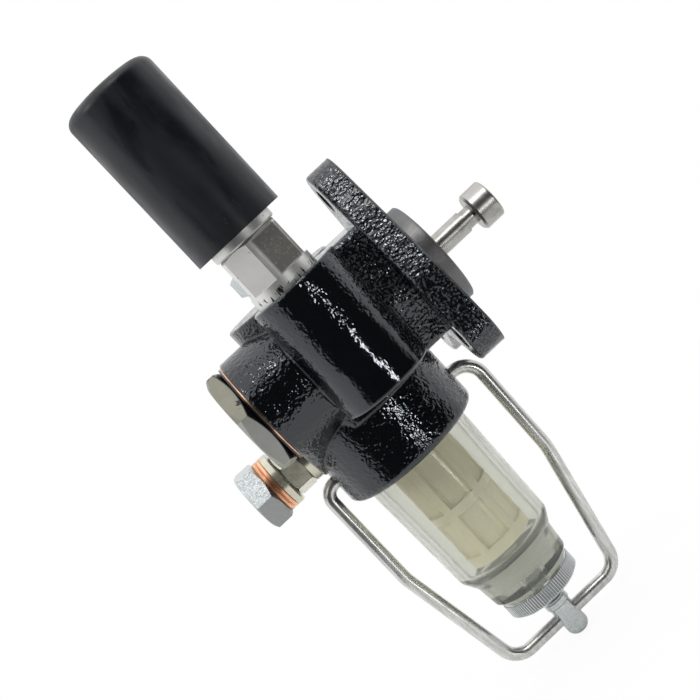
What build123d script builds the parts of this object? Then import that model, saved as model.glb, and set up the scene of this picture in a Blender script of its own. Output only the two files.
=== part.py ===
from build123d import *
import os
from math import sqrt

# Piston fuel feed pump with a hand primer and a glass sediment bowl.
# Millimetres. +Z runs up the hand primer and +X runs out along the push rod.
# The origin is the centre of the flange spigot, on the face that meets the engine's injection pump.

# Clearances, all radial or face to face
RUN_FIT = 0.05
SCREW_FIT = 0.04
SEAT_FIT = 0.3
STEP_FIT = 0.5

# Spanner hexagons: the flat land left by the turned bevel, and how steep that bevel is
HEX_LAND = 0.96
HEX_BEVEL_SLOPE = 0.55

# Small edges
FINE_EDGE = 0.5
RING_EDGE = 0.35

# Flange, spigot and neck
FLANGE_T = 9.6
LOBE_R = 9.8
BOLT_HOLE_D = 9.0
TOP_BOLT_Z = 35.0
LOW_BOLT_Y = 22.0
LOW_BOLT_Z = -22.6
WAIST_Y = 27.0
WAIST_Z = -0.8
WAIST_EDGE_R = 2.0
FLANGE_CORE_R = 21.6
SPIGOT_D = 38.0
SPIGOT_L = 5.3
SPIGOT_RECESS_D = 24.0
SPIGOT_RECESS_DEPTH = 3.5
NECK_TOP_Z = 24.0
NECK_BOTTOM_Z = -20.2
NECK_TOP_Y = 15.5
NECK_WAIST_Y = 20.0
NECK_EDGE_R = 2.5

# Casting round the bores
TOP_Z = 24.9
PRIMER_X = -37.2
PRIMER_Y = -20.0
FRONT_BOSS_D = 32.5
FRONT_BOSS_SHIFT = 1.85
FRONT_BOSS_BOTTOM_Z = -18.4
BODY_X = -40.0
BODY_Y = 9.0
BODY_D = 42.5
PISTON_BOSS_D = 40.2
BORE_FACE_X = -70.4
EDGE_R = 1.2

# Piston bore and what slides in it
PISTON_D = 22.0
PISTON_L = 22.0
PISTON_REST_X = -25.0
PISTON_WALL = 3.0
PISTON_CROWN = 6.0
BORE_END_GAP = 1.0
ROD_D = 7.8
ROD_NECK_D = 6.7
ROD_NECK_L = 3.8
ROD_HEAD_D = 14.0
ROD_HEAD_L = 7.9
ROD_TIP_X = 30.5
ROD_HEAD_EDGE = 0.8
STROKE = 8.0
STROKE_SPARE = 1.0
CONTACT_GAP = 0.02
GUIDE_D = 13.0
GUIDE_L = 20.0
SEAL_W = 2.4
SEAL_WALL = 1.6
SEAL_LIP_T = 1.0

# Screw plug over the piston spring
PLUG_AF = 36.0
PLUG_HEX_L = 6.5
PLUG_WASHER_D = 38.4
PLUG_WASHER_W = 4.4
PLUG_WASHER_T = 1.0
PLUG_CAVITY_D = 21.0
PLUG_FLOOR_T = 7.5
PLUG_CORNER_ANGLE = 12.5

# Piston spring
SPRING_GAP = 0.7
SPRING_WIRE_D = 1.6
SPRING_TURNS = 6
SPRING_END_SHARE = 0.6

# Valves
VALVE_CHAMBER_D = 14.0
VALVE_SEAT_Z = -2.0
VALVE_PORT_D = 6.0
VALVE_PORT_DEPTH = 7.0
VALVE_D = 11.0
VALVE_T = 2.0
VALVE_STEM_D = 4.0
VALVE_LIFT = 1.5
VALVE_SPRING_D = 8.6
VALVE_WIRE_D = 0.9
VALVE_SPRING_TURNS = 3
OUTLET_X = -37.8
OUTLET_Y = 20.0
OUTLET_COLLAR_L = 2.8
OUTLET_PLUG_AF = 21.0
OUTLET_PLUG_HEX_L = 8.2
VALVE_THREAD_D = 16.0
VALVE_THREAD_L = 13.9
RING_T = 1.3
OUTLET_RING_W = 2.0
OUTLET_PORT_D = 12.4
OUTLET_PORT_DEPTH = 10.0
OUTLET_BOSS_D = 22.0
OUTLET_FACE_Y = 38.0
OUTLET_PORT_Z = 6.0
OIL_WAY_D = 4.0

# Hand primer
PRIMER_RING_W = 3.3
BASE_RING_L = 2.8
BASE_HEX_AF = 21.0
BASE_HEX_L = 14.6
BASE_CORNER_ANGLE = -92.7
BARREL_D = 23.0
BARREL_SPIGOT_D = 13.0
BARREL_SPIGOT_L = 6.0
BASE_BORE_D = 8.0
PRIMER_BORE_D = 16.0
PRIMER_FLOOR_T = 4.0
PRIMER_PISTON_L = 9.0
PRIMER_SEAL_W = 2.4
PRIMER_SEAL_DEPTH = 1.6
PRIMER_STROKE = 30.0
PRIMER_ROD_D = 6.0
GLAND_D = 19.0
GLAND_T = 4.0
KNOB_D = 32.3
KNOB_BORE_D = 26.0
KNOB_L = 58.3
KNOB_BOTTOM_GAP = 2.9
KNOB_CROWN_T = 7.0
KNOB_EDGE_R = 3.5

# Inlet
INLET_Z = -22.6
INLET_BOSS_D = 19.0
ADAPTER_SHOULDER_GAP = 0.26
ADAPTER_SHOULDER_L = 2.6
ADAPTER_AF = 16.0
ADAPTER_HEX_L = 7.3
ADAPTER_COLLAR_D = 20.4
ADAPTER_COLLAR_L = 2.6
ADAPTER_THREAD_D = 14.0
ADAPTER_THREAD_L = 10.0
ADAPTER_BORE_D = 7.0
ADAPTER_CORNER_ANGLE = 23.5
INLET_RING_W = 3.9
INLET_RING_T = 1.6
SCREW_AF = 21.0
SCREW_HEX_L = 7.8
SCREW_THREAD_D = 12.0
SCREW_THREAD_L = 12.0
SCREW_BORE_D = 6.0

# Bowl head, bowl and strainer
BOWL_X = -42.8
BOWL_Y = 16.8
HEAD_D = 53.5
HEAD_TOP_Z = -17.0
HEAD_TOP_R = 6.0
HEAD_BOTTOM_Z = -45.7
HEAD_BOTTOM_R = 2.5
RECESS_DEPTH = 4.8
GASKET_T = 1.5
BOWL_RIM_D = 41.8
BOWL_LOW_D = 39.1
BOWL_LOW_Z = -91.0
BOWL_WALL = 3.6
BOWL_FLOOR_Z = -92.8
FOOT_TOP_Z = -96.4
FOOT_TOP_D = 33.2
FOOT_LOW_D = 31.4
FOOT_LOW_Z = -104.6
BOWL_BOTTOM_Z = -106.8
BOWL_BOTTOM_D = 27.6
BOWL_EDGE_R = 4.0
FOOT_DIMPLE_DEPTH = 4.2
STRAINER_D = 25.0
STRAINER_BOTTOM_Z = -89.5
STRAINER_WALL = 1.6
STRAINER_BAND_L = 4.0
STRAINER_MID_Z = -70.0
STRAINER_MID_L = 3.0
STRAINER_RIBS = 6
STRAINER_RIB_W = 3.0
GAUZE_T = 0.5
NIPPLE_GAP = 1.0
NIPPLE_L = 5.0
NIPPLE_BORE_D = 6.0

# Bail, stud and nut
WIRE_D = 4.7
BAIL_Z = -36.0
BAIL_LEFT_GAP = 5.3
BAIL_RIGHT_GAP = 7.9
BAIL_RIGHT_LEAN = 0.9
BAIL_HALF_LOW = 23.7
BAIL_KINK_Z = -77.0
BAIL_KINK_R = 22.0
BAIL_CORNER_R = 7.5
BAIL_LOW_Z = -124.8
BAIL_TIP_DEPTH = 7.0
NUT_D = 28.4
NUT_T = 6.2
NUT_BEVEL = 0.8
STUD_D = 5.8
STUD_RECESS = 3.4
SOCKET_TOP_Z = -117.2
SOCKET_D = 8.2
SOCKET_COLLAR_D = 9.2
SOCKET_COLLAR_L = 3.2
SOCKET_BOTTOM_Z = -132.6
SOCKET_END_R = 3.0
SOCKET_EDGE = 0.7

# Worked out from the sizes above
SEAT_TOP_Z = TOP_Z + RING_T
BASE_TOP_Z = SEAT_TOP_Z + BASE_RING_L + BASE_HEX_L
KNOB_BOTTOM_Z = BASE_TOP_Z + KNOB_BOTTOM_GAP
KNOB_TOP_Z = KNOB_BOTTOM_Z + KNOB_L
PRIMER_FLOOR_Z = BASE_TOP_Z + PRIMER_FLOOR_T
PLUNGER_Z = PRIMER_FLOOR_Z + STEP_FIT
BARREL_TOP_Z = PLUNGER_Z + PRIMER_PISTON_L + PRIMER_STROKE + STROKE_SPARE + GLAND_T
CHAMBER_TOP_Z = TOP_Z - VALVE_THREAD_L
PLUG_THREAD_D = PLUG_WASHER_D - 2 * (PLUG_WASHER_W + SEAT_FIT)
RING_INNER_D = VALVE_THREAD_D + 2 * SEAT_FIT
BASE_RING_D = RING_INNER_D + 2 * PRIMER_RING_W
SPRING_OUTER_D = PISTON_D - 2 * (PISTON_WALL + SPRING_GAP)
NECK_START_X = -FLANGE_T
BORE_END_X = PISTON_REST_X + BORE_END_GAP
PLUG_SEAT_X = BORE_FACE_X - PLUG_WASHER_T
SPRING_FLOOR_X = PLUG_SEAT_X - PLUG_HEX_L + PLUG_FLOOR_T
PISTON_TAIL_X = PISTON_REST_X - PISTON_L
PLUG_INNER_X = PISTON_TAIL_X - STROKE - STROKE_SPARE
INLET_REACH = sqrt(BOWL_Y ** 2 + INLET_Z ** 2)
ADAPTER_SHOULDER_D = 2 * (INLET_REACH - PLUG_WASHER_D / 2 - ADAPTER_SHOULDER_GAP)
ADAPTER_HEX_X = BORE_FACE_X - ADAPTER_SHOULDER_L
ADAPTER_COLLAR_X = ADAPTER_HEX_X - ADAPTER_HEX_L
ADAPTER_FACE_X = ADAPTER_COLLAR_X - ADAPTER_COLLAR_L
SCREW_SEAT_X = ADAPTER_FACE_X - 2 * INLET_RING_T
RECESS_Z = HEAD_BOTTOM_Z + RECESS_DEPTH
BOWL_TOP_Z = RECESS_Z - GASKET_T
NUT_BOTTOM_Z = BOWL_BOTTOM_Z - NUT_T
BAIL_LEFT_X = BOWL_X - HEAD_D / 2 - BAIL_LEFT_GAP
BAIL_RIGHT_X = BOWL_X + HEAD_D / 2 + BAIL_RIGHT_GAP

PRIMER_AXIS = Pos(PRIMER_X, PRIMER_Y, 0)
OUTLET_AXIS = Pos(OUTLET_X, OUTLET_Y, 0)
BOWL_AXIS = Pos(BOWL_X, BOWL_Y, 0)
INLET_AXIS = Pos(0, BOWL_Y, INLET_Z)

# Heights run to the left here, and angles are counted from the front upwards
LEFTWARD = Plane(origin=(0, 0, 0), x_dir=(0, -1, 0), z_dir=(-1, 0, 0))


def rod_z(d, z0, z1):
    return Pos(0, 0, (z0 + z1) / 2) * Cylinder(d / 2, abs(z1 - z0))


def rod_x(d, x0, x1):
    return Pos((x0 + x1) / 2, 0, 0) * Rot(0, 90, 0) * Cylinder(d / 2, abs(x1 - x0))


def rod_y(d, y0, y1):
    return Pos(0, (y0 + y1) / 2, 0) * Rot(90, 0, 0) * Cylinder(d / 2, abs(y1 - y0))


def drilling(start, end, d):
    """A straight round hole between two points, as the solid that is taken away."""
    a, b = Vector(*start), Vector(*end)
    run = b - a
    return Plane(origin=a + run * 0.5, z_dir=run.normalized()) * Cylinder(d / 2, run.length)


def turned(*points):
    """A solid of revolution about Z from (radius, height) points."""
    return revolve(make_face(Plane.XZ * Polyline(*points, close=True)), Axis.Z)


def hexagon(across_flats, height, corner_angle, bevel_bottom=True, bevel_top=True):
    """A hexagon from z 0 to its height, with the turned bevels of a spanner hexagon."""
    corner_r = across_flats / sqrt(3)
    land_r = across_flats / 2 * HEX_LAND
    drop = (corner_r - land_r) * HEX_BEVEL_SLOPE
    low = drop if bevel_bottom else 0
    high = height - drop if bevel_top else height
    outline = [(0, 0), (land_r if bevel_bottom else corner_r, 0)]
    if bevel_bottom:
        outline.append((corner_r, low))
    outline.append((corner_r, high))
    if bevel_top:
        outline.append((land_r, height))
    outline.append((0, height))
    prism = extrude(Rot(0, 0, corner_angle) * RegularPolygon(corner_r, 6), height)
    return prism & turned(*outline)


def ring(outer_d, inner_d, z0, z1):
    return rod_z(outer_d, z0, z1) - rod_z(inner_d, z0 - 1, z1 + 1)


def coil(outer_d, wire_d, length, turns):
    """A compression spring along Z from 0 to its length, with its end turns closed by flat rings."""
    mean_r = (outer_d - wire_d) / 2
    path = Helix(pitch=(length - wire_d) / turns, height=length - wire_d, radius=mean_r)
    section = Plane(origin=path @ 0, z_dir=path % 0) * RegularPolygon(wire_d / 2, 4)
    body = Pos(0, 0, wire_d / 2) * sweep(section, path)
    end_t = wire_d * SPRING_END_SHARE
    ends = ring(outer_d, outer_d - 2 * wire_d, 0, end_t)
    return body + ends + Pos(0, 0, length - end_t) * ends


def lobes(circles):
    """The outline of a string stretched round circles, each given as its centre and radius."""
    edges = [edge for (y, z), r in circles for edge in (Pos(y, z) * Circle(r)).edges()]
    return make_hull(edges)


def flange_plate():
    """Three lobes round the bolt holes, with a shallow notch up to the round core between the lower two."""
    top = ((0, TOP_BOLT_Z), LOBE_R)
    lows = [((side * LOW_BOLT_Y, LOW_BOLT_Z), LOBE_R) for side in (-1, 1)]
    waists = [((side * (WAIST_Y - WAIST_EDGE_R), WAIST_Z), WAIST_EDGE_R) for side in (-1, 1)]
    below = LOW_BOLT_Z - 2 * LOBE_R
    notch = Polygon(
        (0, 0), (-LOW_BOLT_Y, LOW_BOLT_Z), (-LOW_BOLT_Y, below),
        (LOW_BOLT_Y, below), (LOW_BOLT_Y, LOW_BOLT_Z), align=None,
    )
    for low in lows:
        notch -= lobes([((0, 0), FLANGE_CORE_R), low])
    outline = lobes([top] + lows + waists) - notch
    plate = Pos(-FLANGE_T, 0, 0) * extrude(Plane.YZ * outline, FLANGE_T)
    return fillet(plate.faces().sort_by(Axis.X)[0].edges(), EDGE_R)


def bolt_holes():
    places = [(0, TOP_BOLT_Z), (-LOW_BOLT_Y, LOW_BOLT_Z), (LOW_BOLT_Y, LOW_BOLT_Z)]
    return [Pos(0, y, z) * rod_x(BOLT_HOLE_D, -FLANGE_T - 1, 1) for y, z in places]


def neck():
    """The lozenge-shaped neck between the body and the flange."""
    left = [(-NECK_TOP_Y, NECK_TOP_Z), (-NECK_WAIST_Y, WAIST_Z), (-NECK_TOP_Y, NECK_BOTTOM_Z)]
    right = [(-y, z) for y, z in reversed(left)]
    outline = fillet(Polygon(*left, *right, align=None).vertices(), NECK_EDGE_R)
    return Pos(BODY_X, 0, 0) * extrude(Plane.YZ * outline, NECK_START_X - BODY_X + EDGE_R)


def bowl_head():
    head = rod_z(HEAD_D, HEAD_BOTTOM_Z, HEAD_TOP_Z)
    head = fillet(head.edges().filter_by(GeomType.CIRCLE).sort_by(Axis.Z)[-1], HEAD_TOP_R)
    head = fillet(head.edges().filter_by(GeomType.CIRCLE).sort_by(Axis.Z)[0], HEAD_BOTTOM_R)
    return BOWL_AXIS * head


def front_boss():
    boss = rod_z(FRONT_BOSS_D, FRONT_BOSS_BOTTOM_Z, TOP_Z)
    boss = chamfer(boss.edges().filter_by(GeomType.CIRCLE).sort_by(Axis.Z)[-1], FINE_EDGE)
    boss = fillet(boss.edges().filter_by(GeomType.CIRCLE).sort_by(Axis.Z)[0], EDGE_R)
    return Pos(PRIMER_X + FRONT_BOSS_SHIFT, PRIMER_Y, 0) * boss


def central_body():
    body = rod_z(BODY_D, HEAD_TOP_Z - HEAD_TOP_R, TOP_Z)
    body = chamfer(body.edges().filter_by(GeomType.CIRCLE).sort_by(Axis.Z)[-1], FINE_EDGE)
    return Pos(BODY_X, BODY_Y, 0) * body


def piston_boss():
    """One lobe of the casting round the piston bore and the inlet thread."""
    outline = lobes([((0, 0), PISTON_BOSS_D / 2), ((BOWL_Y, INLET_Z), INLET_BOSS_D / 2)])
    boss = Pos(BORE_FACE_X, 0, 0) * extrude(Plane.YZ * outline, BODY_X - BORE_FACE_X)
    return chamfer(boss.faces().sort_by(Axis.X)[0].edges(), FINE_EDGE)


def outlet_boss():
    boss = rod_y(OUTLET_BOSS_D, BODY_Y, OUTLET_FACE_Y)
    boss = chamfer(boss.edges().filter_by(GeomType.CIRCLE).sort_by(Axis.Y)[-1], FINE_EDGE)
    return Pos(OUTLET_X, 0, OUTLET_PORT_Z) * boss


def valve_bore():
    """Thread bore, chamber and port of one valve, down from the machined top face."""
    bore = rod_z(VALVE_THREAD_D + 2 * SCREW_FIT, CHAMBER_TOP_Z, TOP_Z + 1)
    bore += rod_z(VALVE_CHAMBER_D, VALVE_SEAT_Z, CHAMBER_TOP_Z + 1)
    return bore + rod_z(VALVE_PORT_D, VALVE_SEAT_Z - VALVE_PORT_DEPTH, VALVE_SEAT_Z + 1)


def oil_ways():
    """The drillings that join bowl, inlet valve, piston bore, outlet valve and outlet."""
    port_z = VALVE_SEAT_Z - VALVE_PORT_DEPTH + OIL_WAY_D / 2
    strainer_top = (BOWL_X, BOWL_Y, INLET_Z - 1)
    spring_side = (PLUG_INNER_X + OIL_WAY_D, 0, 0)
    rod_side = (BORE_END_X - OIL_WAY_D / 2, 0, OIL_WAY_D)
    return [
        drilling((PRIMER_X, PRIMER_Y, port_z), strainer_top, OIL_WAY_D),
        drilling((BOWL_X, BOWL_Y, RECESS_Z - 1), (BOWL_X, BOWL_Y, INLET_Z), NIPPLE_BORE_D),
        drilling((PRIMER_X, PRIMER_Y, OIL_WAY_D), spring_side, OIL_WAY_D),
        drilling((OUTLET_X, OUTLET_Y, port_z), spring_side, OIL_WAY_D),
        drilling((OUTLET_X, OUTLET_Y, OIL_WAY_D), rod_side, OIL_WAY_D),
        drilling((OUTLET_X, OUTLET_Y, OUTLET_PORT_Z), (OUTLET_X, OUTLET_FACE_Y, OUTLET_PORT_Z), VALVE_PORT_D),
    ]


def inlet_bores():
    """Thread bore for the adapter, and the way down into the ring space of the bowl."""
    thread_end = BORE_FACE_X + ADAPTER_THREAD_L
    thread = INLET_AXIS * rod_x(ADAPTER_THREAD_D + 2 * SCREW_FIT, BORE_FACE_X - 1, thread_end)
    turn_x = thread_end - OIL_WAY_D / 2
    down = drilling((turn_x, BOWL_Y, INLET_Z), (turn_x, BOWL_Y, RECESS_Z - 1), OIL_WAY_D)
    return [thread, down]


def bail_holes():
    depth = BAIL_TIP_DEPTH + STEP_FIT
    holes = []
    for side in (-1, 1):
        edge_x = BOWL_X + side * HEAD_D / 2
        hole = rod_x(WIRE_D + 2 * RUN_FIT, edge_x - side * depth, edge_x + side * depth)
        holes.append(Pos(0, BOWL_Y, BAIL_Z) * hole)
    return holes


def pump_housing():
    body = neck() + central_body() + piston_boss() + front_boss()
    body += flange_plate() + bowl_head() + outlet_boss()
    spigot = rod_x(SPIGOT_D, -1, SPIGOT_L)
    body += chamfer(spigot.edges().filter_by(GeomType.CIRCLE).sort_by(Axis.X)[-1], FINE_EDGE)
    body -= rod_x(SPIGOT_RECESS_D, SPIGOT_L - SPIGOT_RECESS_DEPTH, SPIGOT_L + 1)
    body -= rod_x(GUIDE_D, BORE_END_X - 1, SPIGOT_L)
    body -= rod_x(PISTON_D + 2 * RUN_FIT, BORE_FACE_X, BORE_END_X)
    body -= rod_x(PLUG_THREAD_D + 2 * SCREW_FIT, BORE_FACE_X - 1, PLUG_INNER_X + STEP_FIT)
    body -= PRIMER_AXIS * valve_bore()
    body -= OUTLET_AXIS * valve_bore()
    outlet_depth = OUTLET_FACE_Y - OUTLET_PORT_DEPTH
    body -= Pos(OUTLET_X, 0, OUTLET_PORT_Z) * rod_y(OUTLET_PORT_D, outlet_depth, OUTLET_FACE_Y + 1)
    body -= BOWL_AXIS * rod_z(BOWL_RIM_D + 2 * SEAT_FIT, HEAD_BOTTOM_Z - 1, RECESS_Z)
    for hole in bolt_holes() + oil_ways() + inlet_bores() + bail_holes():
        body -= hole
    return body


def push_rod():
    head_x = ROD_TIP_X - ROD_HEAD_L
    shank = rod_x(ROD_D, PISTON_REST_X + CONTACT_GAP, head_x - ROD_NECK_L)
    shank += rod_x(ROD_NECK_D, head_x - ROD_NECK_L - 1, head_x + 1)
    head = rod_x(ROD_HEAD_D, head_x, ROD_TIP_X)
    head = chamfer(head.edges().filter_by(GeomType.CIRCLE).sort_by(Axis.X)[0], ROD_HEAD_EDGE)
    head = fillet(head.edges().filter_by(GeomType.CIRCLE).sort_by(Axis.X)[-1], ROD_HEAD_EDGE)
    return shank + head


def rod_guide():
    start = BORE_END_X
    bush = rod_x(GUIDE_D, start, start + GUIDE_L)
    return bush - rod_x(ROD_D + 2 * RUN_FIT, start - 1, start + GUIDE_L + 1)


def rod_seal():
    start = BORE_END_X + GUIDE_L
    seal = rod_x(GUIDE_D, start, start + SEAL_W)
    seal -= rod_x(ROD_D + 2 * RUN_FIT, start - 1, start + SEAL_W + 1)
    groove_d = ROD_D + 2 * SEAL_WALL
    groove = rod_x(groove_d, start + SEAL_W / 2, start + SEAL_W + 1)
    return seal - (groove - rod_x(ROD_D + SEAL_LIP_T, start, start + SEAL_W + 1))


def feed_piston():
    body = rod_x(PISTON_D, PISTON_TAIL_X, PISTON_REST_X)
    cavity = rod_x(PISTON_D - 2 * PISTON_WALL, PISTON_TAIL_X - 1, PISTON_REST_X - PISTON_CROWN)
    body -= cavity
    return chamfer(body.edges().filter_by(GeomType.CIRCLE).sort_by(Axis.X)[-1], FINE_EDGE)


def piston_spring():
    start = SPRING_FLOOR_X
    length = PISTON_REST_X - PISTON_CROWN - start
    spring = coil(SPRING_OUTER_D, SPRING_WIRE_D, length, SPRING_TURNS)
    return Pos(start, 0, 0) * Rot(0, 90, 0) * spring


def screw_plug():
    plug = Pos(PLUG_SEAT_X, 0, 0) * (LEFTWARD * hexagon(PLUG_AF, PLUG_HEX_L, PLUG_CORNER_ANGLE))
    plug += rod_x(PLUG_THREAD_D, PLUG_SEAT_X - 1, PLUG_INNER_X)
    return plug - rod_x(PLUG_CAVITY_D, SPRING_FLOOR_X, PLUG_INNER_X + 1)


def plug_washer():
    washer = rod_x(PLUG_WASHER_D, PLUG_SEAT_X, BORE_FACE_X)
    return washer - rod_x(PLUG_THREAD_D + 2 * SEAT_FIT, PLUG_SEAT_X - 1, BORE_FACE_X + 1)


def valve():
    """One valve plate on its seat, with the stem that guides the spring."""
    plate = rod_z(VALVE_D, VALVE_SEAT_Z, VALVE_SEAT_Z + VALVE_T)
    plate = chamfer(plate.edges().filter_by(GeomType.CIRCLE).sort_by(Axis.Z)[-1], FINE_EDGE)
    return plate + rod_z(VALVE_STEM_D, VALVE_SEAT_Z, CHAMBER_TOP_Z - VALVE_LIFT - STEP_FIT)


def valve_spring():
    start = VALVE_SEAT_Z + VALVE_T
    spring = coil(VALVE_SPRING_D, VALVE_WIRE_D, CHAMBER_TOP_Z - start, VALVE_SPRING_TURNS)
    return Pos(0, 0, start) * spring


def outlet_plug():
    hex_z = SEAT_TOP_Z + OUTLET_COLLAR_L
    plug = rod_z(RING_INNER_D + 2 * OUTLET_RING_W, SEAT_TOP_Z, hex_z)
    plug += rod_z(VALVE_THREAD_D, CHAMBER_TOP_Z, SEAT_TOP_Z + 1)
    return plug + Pos(0, 0, hex_z) * hexagon(OUTLET_PLUG_AF, OUTLET_PLUG_HEX_L, 0)


def seat_ring(width):
    return ring(RING_INNER_D + 2 * width, RING_INNER_D, TOP_Z, SEAT_TOP_Z)


def primer_base():
    """The primer's foot, turned from a round bar, with the hexagon's flats milled into it."""
    hex_z = SEAT_TOP_Z + BASE_RING_L
    base = rod_z(BASE_RING_D, SEAT_TOP_Z, hex_z)
    base += rod_z(VALVE_THREAD_D, CHAMBER_TOP_Z, SEAT_TOP_Z + 1)
    flats = Pos(0, 0, hex_z) * hexagon(BASE_HEX_AF, BASE_HEX_L, BASE_CORNER_ANGLE, bevel_bottom=False)
    base += flats & rod_z(BASE_RING_D, hex_z, BASE_TOP_Z)
    base -= rod_z(BASE_BORE_D, CHAMBER_TOP_Z - 1, BASE_TOP_Z + 1)
    return base - rod_z(BARREL_SPIGOT_D + 2 * SCREW_FIT, BASE_TOP_Z - BARREL_SPIGOT_L, BASE_TOP_Z + 1)


def primer_barrel():
    tube = rod_z(BARREL_D, BASE_TOP_Z, BARREL_TOP_Z)
    barrel = chamfer(tube.edges().filter_by(GeomType.CIRCLE), FINE_EDGE)
    barrel += rod_z(BARREL_SPIGOT_D, BASE_TOP_Z - BARREL_SPIGOT_L, BASE_TOP_Z + 1)
    barrel -= rod_z(PRIMER_BORE_D + 2 * RUN_FIT, PRIMER_FLOOR_Z, BARREL_TOP_Z + 1)
    barrel -= rod_z(GLAND_D + 2 * SCREW_FIT, BARREL_TOP_Z - GLAND_T, BARREL_TOP_Z + 1)
    return barrel - rod_z(BASE_BORE_D, BASE_TOP_Z - BARREL_SPIGOT_L - 1, BARREL_TOP_Z)


def primer_piston():
    piston = rod_z(PRIMER_BORE_D, PLUNGER_Z, PLUNGER_Z + PRIMER_PISTON_L)
    middle = PLUNGER_Z + PRIMER_PISTON_L / 2
    groove_d = PRIMER_BORE_D - 2 * PRIMER_SEAL_DEPTH
    groove = ring(PRIMER_BORE_D + 1, groove_d, middle - PRIMER_SEAL_W / 2, middle + PRIMER_SEAL_W / 2)
    return piston - groove


def primer_seal():
    middle = PLUNGER_Z + PRIMER_PISTON_L / 2
    inner_d = PRIMER_BORE_D - 2 * PRIMER_SEAL_DEPTH
    seal = ring(PRIMER_BORE_D, inner_d, middle - PRIMER_SEAL_W / 2, middle + PRIMER_SEAL_W / 2)
    return chamfer(seal.edges().filter_by(GeomType.CIRCLE).group_by(SortBy.RADIUS)[-1], FINE_EDGE)


def primer_rod():
    return rod_z(PRIMER_ROD_D, PLUNGER_Z + PRIMER_PISTON_L, KNOB_TOP_Z - KNOB_CROWN_T)


def primer_gland():
    cap = rod_z(GLAND_D, BARREL_TOP_Z - GLAND_T, BARREL_TOP_Z)
    return cap - rod_z(PRIMER_ROD_D + 2 * RUN_FIT, BARREL_TOP_Z - GLAND_T - 1, BARREL_TOP_Z + 1)


def primer_knob():
    knob = rod_z(KNOB_D, KNOB_BOTTOM_Z, KNOB_TOP_Z)
    knob = fillet(knob.edges().filter_by(GeomType.CIRCLE).sort_by(Axis.Z)[-1], KNOB_EDGE_R)
    return knob - rod_z(KNOB_BORE_D, KNOB_BOTTOM_Z - 1, KNOB_TOP_Z - KNOB_CROWN_T)


def inlet_adapter():
    body = rod_x(ADAPTER_SHOULDER_D, ADAPTER_HEX_X, BORE_FACE_X)
    flats = hexagon(ADAPTER_AF, ADAPTER_HEX_L, ADAPTER_CORNER_ANGLE)
    body += Pos(ADAPTER_HEX_X, 0, 0) * (LEFTWARD * flats)
    collar = rod_x(ADAPTER_COLLAR_D, ADAPTER_FACE_X, ADAPTER_COLLAR_X)
    body += chamfer(collar.edges().filter_by(GeomType.CIRCLE).sort_by(Axis.X)[-1], FINE_EDGE)
    body += rod_x(ADAPTER_THREAD_D, BORE_FACE_X - 1, BORE_FACE_X + ADAPTER_THREAD_L - OIL_WAY_D)
    body -= rod_x(ADAPTER_BORE_D, ADAPTER_FACE_X - 1, BORE_FACE_X + ADAPTER_THREAD_L)
    screw_end = SCREW_SEAT_X + SCREW_THREAD_L + STEP_FIT
    body -= rod_x(SCREW_THREAD_D + 2 * SCREW_FIT, ADAPTER_FACE_X - 1, screw_end)
    return INLET_AXIS * body


def inlet_washer(start_x):
    inner_d = SCREW_THREAD_D + 2 * SEAT_FIT
    washer = rod_x(inner_d + 2 * INLET_RING_W, start_x, start_x + INLET_RING_T)
    washer = chamfer(washer.edges().filter_by(GeomType.CIRCLE), RING_EDGE)
    return INLET_AXIS * (washer - rod_x(inner_d, start_x - 1, start_x + INLET_RING_T + 1))


def inlet_screw():
    screw = Pos(SCREW_SEAT_X, 0, 0) * (LEFTWARD * hexagon(SCREW_AF, SCREW_HEX_L, 0))
    screw += rod_x(SCREW_THREAD_D, SCREW_SEAT_X - 1, SCREW_SEAT_X + SCREW_THREAD_L)
    screw -= rod_x(SCREW_BORE_D, SCREW_SEAT_X, SCREW_SEAT_X + SCREW_THREAD_L + 1)
    return INLET_AXIS * screw


def bowl_gasket():
    inner_d = BOWL_RIM_D - 2 * BOWL_WALL
    return BOWL_AXIS * ring(BOWL_RIM_D, inner_d, BOWL_TOP_Z, RECESS_Z)


def glass_bowl():
    rim_r, low_r = BOWL_RIM_D / 2, BOWL_LOW_D / 2
    inner_r, inner_low_r = rim_r - BOWL_WALL, low_r - BOWL_WALL
    outside = [
        (inner_r, BOWL_TOP_Z), (rim_r, BOWL_TOP_Z), (low_r, BOWL_LOW_Z), (FOOT_TOP_D / 2, FOOT_TOP_Z),
        (FOOT_LOW_D / 2, FOOT_LOW_Z), (BOWL_BOTTOM_D / 2, BOWL_BOTTOM_Z),
    ]
    dimple_r = STUD_D / 2 + STEP_FIT
    under = [(dimple_r, BOWL_BOTTOM_Z), (dimple_r, BOWL_BOTTOM_Z + FOOT_DIMPLE_DEPTH)]
    middle = [(0, BOWL_BOTTOM_Z + FOOT_DIMPLE_DEPTH), (0, BOWL_FLOOR_Z), (inner_low_r, BOWL_FLOOR_Z)]
    glass = turned(*(outside + under + middle))
    circles = glass.edges().filter_by(GeomType.CIRCLE)
    corners = []
    for z in (BOWL_LOW_Z, BOWL_FLOOR_Z):
        corners += circles.filter_by_position(Axis.Z, z - FINE_EDGE, z + FINE_EDGE)
    return BOWL_AXIS * fillet(corners, BOWL_EDGE_R)


def strainer_spigot():
    """The hollow nipple under the bowl head that the strainer is pushed on."""
    bottom = BOWL_TOP_Z - NIPPLE_L
    outer_d = STRAINER_D - 2 * (STRAINER_WALL + GAUZE_T + NIPPLE_GAP)
    nipple = rod_z(outer_d, bottom, RECESS_Z)
    return BOWL_AXIS * (nipple - rod_z(NIPPLE_BORE_D, bottom - 1, RECESS_Z + 1))


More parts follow.
